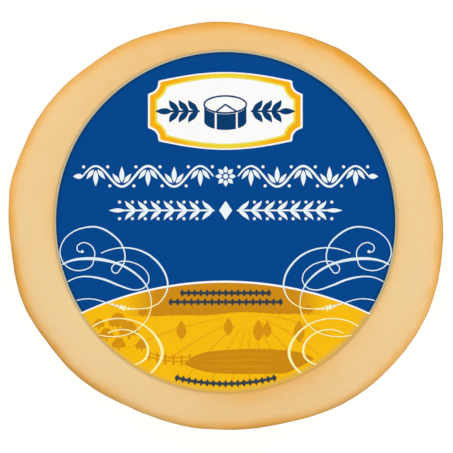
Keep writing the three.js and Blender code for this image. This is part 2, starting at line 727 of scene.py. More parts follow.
@dataclass(frozen=True)
class CheeseBody:
    """The cheese itself, with its dents, creases, pits and smoke."""

    disc: Disc
    label_centre: Point
    label_radius: float
    finish: RindFinish = RindFinish()
    columns: int = 560
    base_rows: int = 9
    under_rows: int = 52
    upper_rows: int = 58
    shoulder_rows: int = 20
    face_rows: int = 12
    shoulder_share: float = 0.86  # the face is finer from here out to the shoulder
    grain: Waves = Waves(seed=5, count=40, lengths=(3.2, 9), height=0.02)
    pit_seed: int = 3
    pits: int = 150
    pit_radii: Point = (0.5, 1.3)
    pit_depths: Point = (0.04, 0.16)
    pit_rows: int = 12  # the rows round the under face that have no pits
    bare_radius: float = 51.5  # the upper face has no marks inside this radius
    mark_fade: float = 2.0  # they come up over this distance from there, and from the under face
    creases: tuple[Crease, ...] = (
        Crease(-28, 22, 27.5, 0.16, 0.8), Crease(35, 96, 22.0, 0.12, 1.2), Crease(108, 150, 29.0, 0.14, 0.7),
        Crease(162, 221, 12.5, 0.14, 1.1), Crease(190, 248, 25.5, 0.18, 0.9),
        Crease(255, 318, 10.0, 0.12, 1.3), Crease(282, 330, 28.0, 0.14, 0.6),
    )
    smoke_band: float = 0.62  # how much smoke is in the band along the outline
    smoke_edge: float = 2.0  # how far in from the outline it has half gone
    smoke_blur: float = 0.4
    smoke_waver: Waves = Waves(seed=21, count=18, lengths=(5, 26), height=0.28)
    smoke_stretches: tuple[Stretch, ...] = (  # where it's stronger or weaker
        Stretch(40, 18, 0.76), Stretch(60, 9, 0.42), Stretch(94, 12, 0.2), Stretch(135, 30, -0.26),
        Stretch(174, 8, 0.15), Stretch(196, 10, 0.2), Stretch(248, 16, -0.45), Stretch(272, 10, 0.2),
        Stretch(303, 14, -0.32), Stretch(328, 16, -0.26),
    )
    smoke_reaches: tuple[Stretch, ...] = (Stretch(56, 20, 0.75), Stretch(116, 16, 0.35))  # where it's wider
    tail: float = 0.5  # how much smoke there is in a faint tail further in
    tail_reach: float = 3.6
    under_smoke: Point = (0.45, 0.55)  # under the belly: all over, and as much more at the rim
    under_edge: float = 6.0  # how far in the latter has half gone
    under_blur: float = 2.5
    under_reach: float = 7.0  # how far under the belly the rim's own colour goes
    stains: tuple[Stretch, ...] = (  # where the rind is yellower beside the label
        Stretch(285, 30, 0.85, 4.6), Stretch(345, 26, 0.55, 1.2), Stretch(178, 17, 0.55, 1.2),
        Stretch(102, 46, 0.48, 9.0),
    )
    edge_shade: float = 0.3  # painted shade: how dark the outermost rim is
    edge_reach: float = 0.8
    painted_rim_shade: tuple[Stretch, ...] = (  # where more painted shade darkens the rim, and reaches further in
        Stretch(214, 34, 0.5, 1.7), Stretch(275, 30, 0.34, 1.7), Stretch(32, 44, 0.36, 1.2),
        Stretch(308, 18, 0.24, 1.2), Stretch(130, 34, 0.13, 1.2), Stretch(338, 18, 0.12, 1.2),
    )
    painted_shade_power: float = 1.5  # the painted shade fades inwards as exp(-x^power)
    under_painted_shade: float = 0.5  # the share of the rim's painted shade under the belly
    seam_shade: float = 0.36  # painted shadow: how dark the rind is right at the label's edge
    seam_reach: float = 0.42
    stain_cover: float = 1.3  # how far a stain replaces the seam's painted shadow
    # painted shade where the stains are, most of it beside the label's lower edge
    stain_shade: float = 0.05

    def section(self) -> tuple[Array, Array, Array]:
        """Trace half of the disc's section, from the middle of the base round to the middle of the face.

        Returns:
            Each row's distance in from the outline, its share of the outline that lies there, and its height.
        """
        disc = self.disc
        base = np.linspace(0, 1, self.base_rows, endpoint=False)
        in_under, up_under = disc.under.curve(self.under_rows)
        in_upper, up_upper = disc.upper.curve(self.upper_rows)
        near = np.linspace(1, self.shoulder_share, self.shoulder_rows, endpoint=False)[1:]
        share = np.concatenate([near, np.linspace(self.shoulder_share, 0, self.face_rows)])
        upper_height = disc.belly + (disc.shoulder - disc.belly) * up_upper
        stretches = (
            (np.full(base.size, disc.under.inset), base, np.zeros(base.size)),
            (in_under[::-1], np.ones(in_under.size), disc.belly * (1 - up_under)[::-1]),
            (in_upper[1:], np.ones(in_upper.size - 1), upper_height[1:]),
            (np.full(share.size, disc.upper.inset), share, disc.face_height(share)),
        )
        inset, kept, height = (np.concatenate(parts) for parts in zip(*stretches))
        return inset, kept, height

    def skin(self) -> Skin:
        """Carry the section round the outline.

        Returns:
            The smooth disc, with a row of points for each row of the section.
        """
        inset, kept, height = (row[:, None] for row in self.section())
        angle = around(self.columns)[None, :]
        outline = self.disc.outline(angle)
        radius = (outline - inset) * kept
        spread = (radius * np.cos(angle), radius * np.sin(angle), np.broadcast_to(height, radius.shape))
        return Skin(np.stack(spread, -1), np.broadcast_to(angle, radius.shape), outline - radius)

    def marks(self, skin: Skin) -> Array:
        """Work out the creases, pits and fine grain of the bare rind.

        Args:
            skin: The smooth disc.

        Returns:
            How far each point moves out, which is mostly a little inwards.
        """
        points = skin.points
        marks = self.grain.at(points)
        for crease in self.creases:
            marks = marks + crease.depth_at(skin)
        draw = np.random.default_rng(self.pit_seed)
        rows = draw.integers(self.base_rows + self.pit_rows, points.shape[0] - self.face_rows, self.pits)
        columns = draw.integers(0, self.columns, self.pits)
        radii = draw.uniform(*self.pit_radii, self.pits)
        depths = draw.uniform(*self.pit_depths, self.pits)
        for row, column, radius, depth in zip(rows, columns, radii, depths):
            marks = marks - depth * bell(np.linalg.norm(points - points[row, column], axis=-1) / radius)
        bare = np.hypot(points[..., 0], points[..., 1]) - self.bare_radius
        on_face = np.where(skin.height > self.disc.belly, np.clip(bare / self.mark_fade, 0, 1), 1)
        return marks * on_face * np.clip(skin.height / self.mark_fade, 0, 1)

    def past_label(self, skin: Skin) -> Array:
        """Work out how far points of the upper side lie outside the label's edge, with 0 under the label."""
        across = skin.points[..., :2] - np.array(self.label_centre)
        return np.maximum(np.linalg.norm(across, axis=-1) - self.label_radius, 0)

    def stain(self, skin: Skin) -> Array:
        """Work out the stains beside the label, each of which fades away from the label's edge."""
        gap = self.past_label(skin)
        return sum(stretch.weight(skin.angle) * np.exp(-gap / stretch.reach) for stretch in self.stains)

    def join_sides(self, skin: Skin, above: Array, below: Array) -> Array:
        """Turn the upper side's values into the under side's, as a bell down from the belly."""
        drop = np.maximum(self.disc.belly - skin.height, 0)
        return below + (above - below) * bell(drop / self.under_reach)

    def smoke(self, skin: Skin) -> Array:
        """Work out how much smoke colour the rind took.

        Args:
            skin: The smooth disc.

        Returns:
            A logistic fall from the outline plus a faint tail on the upper side, and a slow fall to about a
            half on the under side, all times the stretches' gains, plus the stains beside the label.
        """
        wider = gains(self.smoke_reaches, skin.angle)
        edge = self.smoke_edge + self.smoke_waver.at(skin.points) + wider
        above = fall(self.smoke_band, skin.inwards, edge, self.smoke_blur)
        above = above + self.tail * bell(skin.inwards / (self.tail_reach + 2 * wider))
        all_over, near_rim = self.under_smoke
        below = all_over + fall(near_rim, skin.inwards, self.under_edge, self.under_blur)
        amount = 1 + gains(self.smoke_stretches, skin.angle)
        return self.join_sides(skin, above * amount + self.stain(skin), below * amount)

    def shade(self, skin: Skin) -> Array:
        """Work out how far the rind is darkened, by soot at the outline and in the seam round the label.

        Args:
            skin: The smooth disc.

        Returns:
            A fall of painted shade from the outline, stronger and wider in the listed stretches, plus a
            narrow fall of painted shadow from the label's edge, which a stain replaces, plus painted shade
            where the stains are.
        """
        # painted shade along the rim, stronger on the side the light falls less on
        rim = self.edge_shade * np.exp(-((skin.inwards / self.edge_reach) ** self.painted_shade_power))
        for stretch in self.painted_rim_shade:
            fade = np.exp(-((skin.inwards / stretch.reach) ** self.painted_shade_power))
            rim = rim + stretch.weight(skin.angle) * fade
        # painted shadow of the label's edge in the seam, and painted shade where the stains are
        seam = self.seam_shade * bell(self.past_label(skin) / self.seam_reach)
        stain = self.stain(skin)
        beside = seam * np.clip(self.stain_cover * (1 - stain), 0, 1) + self.stain_shade * stain
        return self.join_sides(skin, rim + beside, self.under_painted_shade * rim)

    def build(self) -> bpy.types.Object:
        """Make the cheese's mesh and dress it.

        Returns:
            The piece, which stands in for the solid.
        """
        skin = self.skin()
        out = self.disc.dent_at(skin.points) + self.marks(skin)
        points = skin.points + skin.normals() * out[..., None]
        solid = (points.reshape(-1, 3), grid_faces(*points.shape[:2], wrap=True))
        # shade carries painted shade along the rim and a painted shadow round the label
        colours = {"smoke": self.smoke(skin), "shade": self.shade(skin)}
        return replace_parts(make_piece("provolone_disc", [solid], self.finish, **colours), "cheese")


# --- The label's sheet, and the flat shapes that are printed on it ---


@dataclass(frozen=True)
class Shape:
    """A flat printed shape: a grid of points from the label's centre, with x and y on its last axis."""

    plan: Array
    wrap: bool = False  # True if each row closes on itself
    rise: Array | float = 0.0  # extra height, so that a line can cross itself

    def moved(self, x: float, y: float) -> "Shape":
        """Move the shape."""
        return replace(self, plan=self.plan + np.array([x, y]))

    def turned(self, degrees: float) -> "Shape":
        """Turn the shape about the origin."""
        c, s = math.cos(math.radians(degrees)), math.sin(math.radians(degrees))
        return replace(self, plan=self.plan @ np.array([[c, s], [-s, c]]))

    def on(self, side: Side) -> "Shape":
        """Mirror a shape that was drawn on the right, if it is wanted on the left."""
        return replace(self, plan=self.plan * np.array([side.value, 1]))


def on_both_sides(shapes: Sequence[Shape]) -> list[Shape]:
    """Put the mirror images of shapes that were drawn on the right in front of them."""
    return [shape.on(side) for side in Side for shape in shapes]


@dataclass(frozen=True)
class Label:
    """The round label: a thin sheet pressed onto the disc's upper face, and the ink on it."""

    disc: Disc
    centre: Point = (-0.01, 1.33)
    radius: float = 50.3
    finish: InkFinish = InkFinish(
        "label_paper", Slot.PAPER, (196, 194, 164), (188, 186, 157), roughness=Grain(300, 2, 0.4, 0.5)
    )
    sheet: float = 0.2  # how high the paper stands over the rind
    bedding: float = 0.12  # how deep its underside reaches into the dented rind
    film: float = 0.022  # the step between layers of ink
    hair: float = 0.003  # the step between shapes in one layer, so that no two lie in one plane
    hairs: int = 6  # how many such steps there are before they start again
    rings: int = 52
    columns: int = 192

    def at(self, x: float, y: float) -> Point:
        """Place a point that is given from the label's centre in the part's own frame."""
        return self.centre[0] + x, self.centre[1] + y

    def lift(self, plan: Array, above: float | Array) -> Array:
        """Lay flat points, given from the label's centre, on the disc at a height over its rind."""
        x, y = self.at(plan[..., 0], plan[..., 1])
        return np.stack([x, y, self.disc.height(x, y) + above], -1)

    def print(
        self, name: str, shapes: Sequence[Shape], layer: Layer, ink: InkFinish, at: Point = (0.0, 0.0)
    ) -> bpy.types.Object:
        """Print shapes as thin closed films of ink that follow the disc, with their undersides in the paper.

        Args:
            name: The piece's name.
            shapes: What is printed.
            layer: How high the ink lies.
            ink: The ink.
            at: Where the shapes' origin comes, from the label's centre.

        Returns:
            The piece.
        """
        solids = []
        for index, shape in enumerate(shapes):
            plan = shape.moved(*at).plan
            top = self.sheet + self.film * layer.value + self.hair * (index % self.hairs) + shape.rise
            solids.append(slab(self.lift(plan, top), self.lift(plan, self.sheet / 2), shape.wrap))
        return make_piece(name, solids, ink)

    def build(self) -> bpy.types.Object:
        """Make the paper: rings of points, laid on the disc, above and below.

        Returns:
            The piece, which stands in for the solid.
        """
        plan = np.linspace(0, self.radius, self.rings + 1)[:, None, None] * rays(around(self.columns))
        solid = slab(self.lift(plan, self.sheet), self.lift(plan, -self.bedding), wrap=True)
        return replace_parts(make_piece("label_sheet", [solid], self.finish), "label")


def lengths_along(line: Array) -> Array:
    """Work out how far along a line each of its points is."""
    return np.concatenate([[0], np.cumsum(np.linalg.norm(np.diff(line, axis=0), axis=1))])


def smooth_path(points: Array, spacing: float) -> Array:
    """Draw a smooth line through points.

    Args:
        points: The points.
        spacing: How far apart the line's own points are.

    Returns:
        A cubic Hermite curve over the square roots of the chords, with finite differences as its slopes, cut
        into equal lengths.
    """
    chords = np.linalg.norm(np.diff(points, axis=0), axis=1)
    knots = np.concatenate([[0], np.cumsum(np.sqrt(chords))])
    slopes = np.stack([np.gradient(points[:, axis], knots, edge_order=2) for axis in (0, 1)], -1)
    t = np.linspace(0, knots[-1], 40 * len(points))
    index = np.clip(np.searchsorted(knots, t, side="right") - 1, 0, len(knots) - 2)
    span = (knots[index + 1] - knots[index])[:, None]
    u = (t - knots[index])[:, None] / span
    curve = (
        (2 * u**3 - 3 * u**2 + 1) * points[index]
        + (u**3 - 2 * u**2 + u) * span * slopes[index]
        + (3 * u**2 - 2 * u**3) * points[index + 1]
        + (u**3 - u**2) * span * slopes[index + 1]
    )
    along = lengths_along(curve)
    even = np.linspace(0, along[-1], max(5, round(along[-1] / spacing) + 1))
    return np.stack([np.interp(even, along, curve[:, axis]) for axis in (0, 1)], -1)


def band(line: Array, half_width: Array | float) -> Shape:
    """Widen a flat line into a band.

    Args:
        line: The line's points.
        half_width: Half of the band's width, at each point or everywhere.

    Returns:
        The line's points, moved along its normals by -1, 0 and 1 half widths.
    """
    ahead = unit(np.gradient(line, axis=0))
    normal = np.stack([-ahead[:, 1], ahead[:, 0]], -1)
    reach = np.broadcast_to(half_width, len(line))[:, None] * np.array([-1, 0, 1])
    return Shape(line[:, None] + normal[:, None] * reach[..., None])


def straight(start: Point, end: Point, width: float, points: int = 6) -> Shape:
    """Lay out a straight bar of even width."""
    return band(np.linspace(start, end, points), width / 2)


def leaf(base: Point, tip: Point, width: float, bow: float = 0.0) -> Shape:
    """Lay out a pointed leaf.

    Args:
        base: Where it grows from.
        tip: Where it ends.
        width: Its greatest width.
        bow: How far its midrib bows to the left, as a share of its length.

    Returns:
        A bowed midrib, widened by the sine of the share along it, a little fuller near the base.
    """
    way = np.subtract(tip, base)
    share = np.linspace(0, 1, 13)[:, None]
    left = np.array([-way[1], way[0]])
    line = np.array(base) + way * share + left * bow * 4 * share * (1 - share)
    return band(line, width / 2 * np.sin(math.pi * share[:, 0] ** 0.85))


def dot(centre: Point, radius: float) -> Shape:
    """Lay out a round dot as rings about its middle."""
    rings = np.array([0, 0.6, 1])[:, None, None]
    return Shape(np.array(centre) + rings * radius * rays(around(20)), wrap=True)


def lozenge(half_size: Point) -> Shape:
    """Lay out a lozenge: a level line, widened by 1 - |share from the middle|."""
    share = np.linspace(-1, 1, 9)
    return band(np.stack([share * half_size[0], np.zeros(9)], -1), half_size[1] * (1 - np.abs(share)))


def between(lower: Array, upper: Array, rows: int) -> Shape:
    """Fill the space between two lines of as many points with that many rows of points."""
    share = np.linspace(0, 1, rows)[:, None, None]
    return Shape(lower * (1 - share) + upper * share)


@dataclass(frozen=True)
class Fields:
    """The two fields of colour, parted by a white line on a wide arc."""

    label: Label
    arc_top: Point = (-0.23, -17.64)  # the arc's highest point, from the label's centre
    arc_radius: float = 100.8
    margin: float = 0.47  # bare paper round the blue field
    line_widths: Point = (0.42, 0.6)  # at the ends and at the middle
    fade: float = 1.5  # the inks change colour this near to the label's edge
    gold_shift: Point = (-0.48, 0.13)  # the centre of the gold's fade, from the label's
    points: int = 150  # along the arc

    @property
    def arc_centre(self) -> Point:
        """The arc's centre, from the label's centre."""
        return self.arc_top[0], self.arc_top[1] - self.arc_radius

    def arc(self, x: Array) -> Array:
        """Work out the arc's height over points along X."""
        across, up = self.arc_centre
        return up + np.sqrt(self.arc_radius**2 - (x - across) ** 2)

    def split(self, radius: float) -> tuple[Array, Array, Array]:
        """Trace the arc across a circle round the label's centre.

        Args:
            radius: The circle's radius.

        Returns:
            The arc, the circle's part over it and its part under it, from left to right, with shared ends.
        """
        away = math.hypot(*self.arc_centre)
        down = math.atan2(self.arc_centre[1], self.arc_centre[0])
        half = math.acos((radius**2 - self.arc_radius**2 + away**2) / (2 * away * radius))
        left, right = down - half, down + half
        x = np.linspace(radius * math.cos(left), radius * math.cos(right), self.points)
        over = radius * rays(np.linspace(left + FULL_TURN, right, self.points))
        under = radius * rays(np.linspace(left, right, self.points))
        return np.stack([x, self.arc(x)], -1), over, under

    def build(self) -> None:
        """Print the blue field, the gold field and the line between them."""
        label = self.label
        radii = (label.radius - self.fade, label.radius)
        blue = ZonedInkFinish(
            "blue_ink", Slot.BLUE, (0, 71, 143), (0, 70, 140),
            centre=label.centre, radii=radii, far_colour=(6, 44, 56),
        )
        gold = ZonedInkFinish(
            "gold_ink", Slot.GOLD, (252, 193, 13), (249, 188, 12),
            centre=label.at(*self.gold_shift), radii=radii, far_colour=(220, 176, 82),
        )
        arc, over, _ = self.split(label.radius - self.margin)
        label.print("blue_field", [between(arc, over, 60)], Layer.FIELD, blue)
        arc, _, under = self.split(label.radius)
        label.print("gold_field", [between(under, arc, 36)], Layer.FIELD, gold)
        thin, thick = self.line_widths
        width = thin + (thick - thin) * np.sin(np.linspace(0, math.pi, len(arc))) ** 0.7
        label.print("arc_line", [band(arc, width / 2)], Layer.FIFTH, WHITE_INK)


# --- Leaf ornaments ---


@dataclass(frozen=True)
class Sprig:
    """A level stem with pairs of leaves that point to its end, and berries between the leaves' tips."""

    base: Point
    length: float
    pairs: int
    leaf_length: float
    leaf_width: float
    stem: float
    lean: float = 40.0  # degrees between the stem and a leaf
    berry: float = 0.0  # a berry's radius, or 0 for none
    berry_step: float = 0.42  # how far past a leaf's tip its berry is, as a share of the step between pairs
    bow: float = 0.1
    first: float = 0.1  # how far along the stem the first pair is
    gap: float = 0.5  # how far the leaves stand off the stem's middle
    overlap: float = 0.3  # how far the last leaf goes back over the stem

    def shapes(self) -> list[Shape]:
        """Lay out the sprig.

        Returns:
            The stem, the pairs of leaves with their berries, and a leaf at the end.
        """
        step = self.length / self.pairs
        way = rays(math.radians(self.lean))
        start, end = self.gap * way, self.leaf_length * way
        shapes = [straight((0, 0), (self.length, 0), self.stem, 24)]
        for index in range(self.pairs):
            foot = self.first + step * index
            for hand in (1, -1):
                ends = ((foot + start[0], hand * start[1]), (foot + end[0], hand * end[1]))
                shapes.append(leaf(*ends, self.leaf_width, -self.bow * hand))
                if self.berry:
                    place = (foot + end[0] + self.berry_step * step, hand * (end[1] - self.berry))
                    shapes.append(dot(place, self.berry))
        ends = ((self.length - self.overlap, 0), (self.length + self.leaf_length, 0))
        shapes.append(leaf(*ends, self.leaf_width))
        return [shape.moved(*self.base) for shape in shapes]


@dataclass(frozen=True)
class SprigRow:
    """Two berried sprigs that point away from a lozenge."""

    label: Label
    height: float = 3.3
    sprig: Sprig = Sprig((3.3, 0), 26.5, 7, 4.5, 1.2, 0.5, berry=0.46)
    lozenge: Point = (1.9, 2.8)

    def build(self) -> None:
        """Print the ornament."""
        shapes = [*on_both_sides(self.sprig.shapes()), lozenge(self.lozenge)]
        self.label.print("sprig_ornament", shapes, Layer.FIRST, COOL_INK, at=(0, self.height))


@dataclass(frozen=True)
class VineRow:
    """A winding stem that runs out both ways from a flower, with a fan of leaves in every bend."""

    label: Label
    height: float = 13.3
    start: float = 3.6
    end: float = 42.0
    rise: float = 3.0
    bends: int = 5
    stem: float = 0.68
    stem_tip: float = 0.5  # the stem's width at its ends, as a share
    fan: tuple[Triple, ...] = ((0, 5.6, 1.45), (38, 4.5, 1.15), (-38, 4.5, 1.15))  # lean, length and width
    fan_gap: float = 0.9  # how far the leaves stand off the fan's foot
    fan_drop: float = 0.3  # how far the fan's foot is inside the bend's crest
    berry: float = 0.46
    berry_step: float = 0.46  # how far a berry is from the bend's middle, as a share of the bend
    berry_drop: float = 0.2
    tip: Triple = (-0.2, 2.8, 1.5)  # from where to where past the end the last leaf goes, and its width
    petals: int = 8
    petal: Triple = (1.0, 3.0, 1.25)  # where it starts and ends, and its width
    heart: float = 0.7

    def half(self) -> list[Shape]:
        """Lay out the right half.

        Returns:
            A stem on a sine wave, and in each bend a fan of leaves between two berries.
        """
        bend = (self.end - self.start) / self.bends
        x = np.linspace(self.start, self.end, 180)
        share = (x - self.start) / (self.end - self.start)
        line = np.stack([x, self.rise * np.sin(share * self.bends * math.pi)], -1)
        swell = self.stem_tip + (1 - self.stem_tip) * np.sin(share * math.pi) ** 0.4
        shapes = [band(line, self.stem / 2 * swell)]
        for index in range(self.bends):
            up = 1 if index % 2 == 0 else -1
            middle = self.start + bend * (index + 0.5)
            for lean, length, width in self.fan:
                blade = leaf((self.fan_gap, 0), (length, 0), width).turned(lean - 90 * up)
                shapes.append(blade.moved(middle, up * (self.rise - self.fan_drop)))
            for way in (-1, 1):
                place = (middle + way * self.berry_step * bend, up * (self.rise - self.berry_drop))
                shapes.append(dot(place, self.berry))
        back, out, width = self.tip
        return [*shapes, leaf((self.end + back, 0), (self.end + out, 0), width)]

    def flower(self) -> list[Shape]:
        """Lay out the flower in the middle.

        Returns:
            A dot and the petals round it.
        """
        start, end, width = self.petal
        petal = leaf((start, 0), (end, 0), width)
        turns = (360 / self.petals * turn for turn in range(self.petals))
        return [dot((0, 0), self.heart), *(petal.turned(turn) for turn in turns)]

    def build(self) -> None:
        """Print the ornament."""
        shapes = on_both_sides(self.half()) + self.flower()
        self.label.print("vine_ornament", shapes, Layer.FIRST, COOL_INK, at=(0, self.height))


@dataclass(frozen=True)
class BeadRow:
    """A small row of lozenges and dots along the foot of a circle, and a wide circle looks straight."""

    label: Label
    name: str
    height: float  # its middle's height over the label's centre
    half_width: float
    radius: float = 1e4  # the circle's
    pitch: float = 1.9
    lozenge: Point = (0.74, 1.1)
    dot: float = 0.44

    def build(self) -> None:
        """Print the row, with a lozenge at each end."""
        steps = 2 * round(self.half_width / self.pitch)
        shapes = []
        for index in range(-steps, steps + 1):
            turn = math.degrees(index * self.half_width / steps / self.radius)
            shape = dot((0, 0), self.dot) if index % 2 else lozenge(self.lozenge)
            shapes.append(shape.moved(0, -self.radius).turned(turn))
        self.label.print(self.name, shapes, Layer.PEN, SMALL_INK, at=(0, self.height + self.radius))


# --- The cartouche ---


@dataclass(frozen=True)
class CheeseMark:
    """A small drawing of a cheese from above its edge, with the cuts of one wedge."""

    half_width: float = 6.2
    half_depth: float = 2.5
    top: float = 1.9
    bottom: float = -3.1
    line: float = 0.5
    cuts: Point = (243, 303)  # degrees round the upper face
    cut_gap: float = 3.0  # degrees that the side stays off a cut
    rim_gap: float = 0.75  # how far the side stays below the rim's middle, in line widths

    def ring(self, start: float, end: float, height: float, points: int = 40) -> Array:
        """Trace part of a foreshortened circle, between two angles in degrees."""
        angle = np.radians(np.linspace(start, end, points))
        return np.array([0, height]) + np.array([self.half_width, self.half_depth]) * rays(angle)

    def shapes(self) -> list[Shape]:
        """Lay out the drawing.

        Returns:
            The upper rim, the side in three parts, and the two cuts.
        """
        shapes = [band(self.ring(0, 360, self.top), self.line / 2)]
        edges = (180, *self.cuts, 360)
        for start, end in zip(edges, edges[1:]):
            first, last = start + (start != 180) * self.cut_gap, end - (end != 360) * self.cut_gap
            upper = self.ring(first, last, self.top - self.rim_gap * self.line)
            shapes.append(between(self.ring(first, last, self.bottom), upper, 4))
        for cut in self.cuts:
            shapes.append(straight((0, self.top), tuple(self.ring(cut, cut, self.top, 1)[0]), self.line))
        return shapes


@dataclass(frozen=True)
class Cartouche:
    """A ticket-shaped emblem with scooped corners: white edge, gold band, yellow line and white field."""

    label: Label
    centre: Point = (-0.1, 32.5)
    half_size: Point = (22.7, 8.2)
    bulge: float = 3.2  # how far the long sides bow out
    flare: float = 0.35  # how much more they bow for each millimetre further in
    scoop: float = 3.0
    points: int = 264
    rings: int = 16
    band_radii: Point = (10.5, 17.0)  # where the band turns from yellow to gold
    mark: CheeseMark = CheeseMark()
    sprig: Sprig = Sprig((7.5, -0.1), 8.4, 3, 4.7, 1.85, 0.6, lean=46)

    def edge(self, inset: float) -> Array:
        """Trace the emblem's outline.

        Args:
            inset: How far inside the outermost outline it runs.

        Returns:
            A closed ring of points. Along each ray from the middle it is the nearer of a box, whose long
            sides bow out as a cosine, and a circle about the box's corner.
        """
        way = rays(around(self.points))
        ray = np.abs(way)
        divisor = np.maximum(ray, TINY)
        corner = np.array(self.half_size)
        half = corner - inset
        reach = half[1] / divisor[:, 1]
        for _ in range(8):
            bow = np.cos(np.clip(reach * ray[:, 0] / corner[0], 0, 1) * math.pi / 2)
            reach = (half[1] + (self.bulge + self.flare * inset) * bow) / divisor[:, 1]
        box = np.minimum(half[0] / divisor[:, 0], reach)
        along = ray @ corner
        depth = along**2 - (corner @ corner - (self.scoop + inset) ** 2)
        scoop = np.where(depth > 0, along - np.sqrt(np.maximum(depth, 0)), np.inf)
        return np.minimum(box, scoop)[:, None] * way

    def build(self) -> None:
        """Print the four layers, as rings that shrink towards the middle, and the mark between two sprigs."""
        gold = ZonedInkFinish(
            "band_ink", Slot.GOLD, (243, 216, 58), (239, 211, 54),
            centre=self.label.at(*self.centre), radii=self.band_radii, far_colour=(249, 178, 10),
        )
        yellow = InkFinish("line_ink", Slot.PALE, (243, 228, 84), (240, 223, 78))
        layers = (
            ("emblem_edge", 0.0, Layer.FIRST, WHITE_INK),
            ("emblem_band", 0.6, Layer.SECOND, gold),
            ("emblem_line", 2.1, Layer.THIRD, yellow),
            ("emblem_field", 2.75, Layer.FOURTH, WHITE_INK),
        )
        for name, inset, level, ink in layers:
            rings = np.linspace(0, 1, self.rings)[:, None, None] ** 0.8 * self.edge(inset)
            self.label.print(name, [Shape(rings, wrap=True)], level, ink, at=self.centre)
        shapes = self.mark.shapes() + on_both_sides(self.sprig.shapes())
        self.label.print("emblem_mark", shapes, Layer.FIFTH, NAVY_INK, at=self.centre)


# --- The pen flourishes ---


@dataclass(frozen=True)
class Turn:
    """A stretch of a pen stroke that turns round a centre."""

    centre: Point
    half_size: Point
    angles: Point  # degrees, from the first to the last
    step: float = 30.0  # degrees between its points, about

    def points(self) -> Array:
        """Trace the stretch.

        Returns:
            Points on an ellipse.
        """
        steps = max(3, round(abs(self.angles[1] - self.angles[0]) / self.step) + 1)
        angle = np.radians(np.linspace(*self.angles, steps))
        return np.array(self.centre) + np.array(self.half_size) * rays(angle)


@dataclass(frozen=True)
class Stroke:
    """A pen stroke on the right half: turns and points in order, with a width that swells on its way."""

    path: tuple[Turn | Point, ...]
    thin: float
    swells: tuple[Triple, ...]  # share of the way, spread, and how much wider it is there
    ball: float = 0.0  # the radius of a ball at its start
    climb: float = 0.03  # it rises this much on its way, so that it can cross itself
    spacing: float = 0.3  # of the line's points

    def shapes(self) -> list[Shape]:
        """Lay out the stroke.

        Returns:
            A thin line plus bell-shaped swellings, with ends like half circles, and its ball.
        """
        parts = [part.points() if isinstance(part, Turn) else np.array([part]) for part in self.path]
        line = smooth_path(np.concatenate(parts), self.spacing)
        along = lengths_along(line)
        share = along / along[-1]
        width = self.thin + sum(gain * bell((share - at) / spread) for at, spread, gain in self.swells)
        to_end = np.clip(np.minimum(along, along[-1] - along) / (width / 2), 0, 1)
        pen = band(line, width / 2 * np.sqrt(1 - (1 - to_end) ** 2))
        shapes = [replace(pen, rise=self.climb * share[:, None])]
        if self.ball:
            shapes.append(replace(dot(tuple(line[0]), self.ball), rise=self.climb))
        return shapes


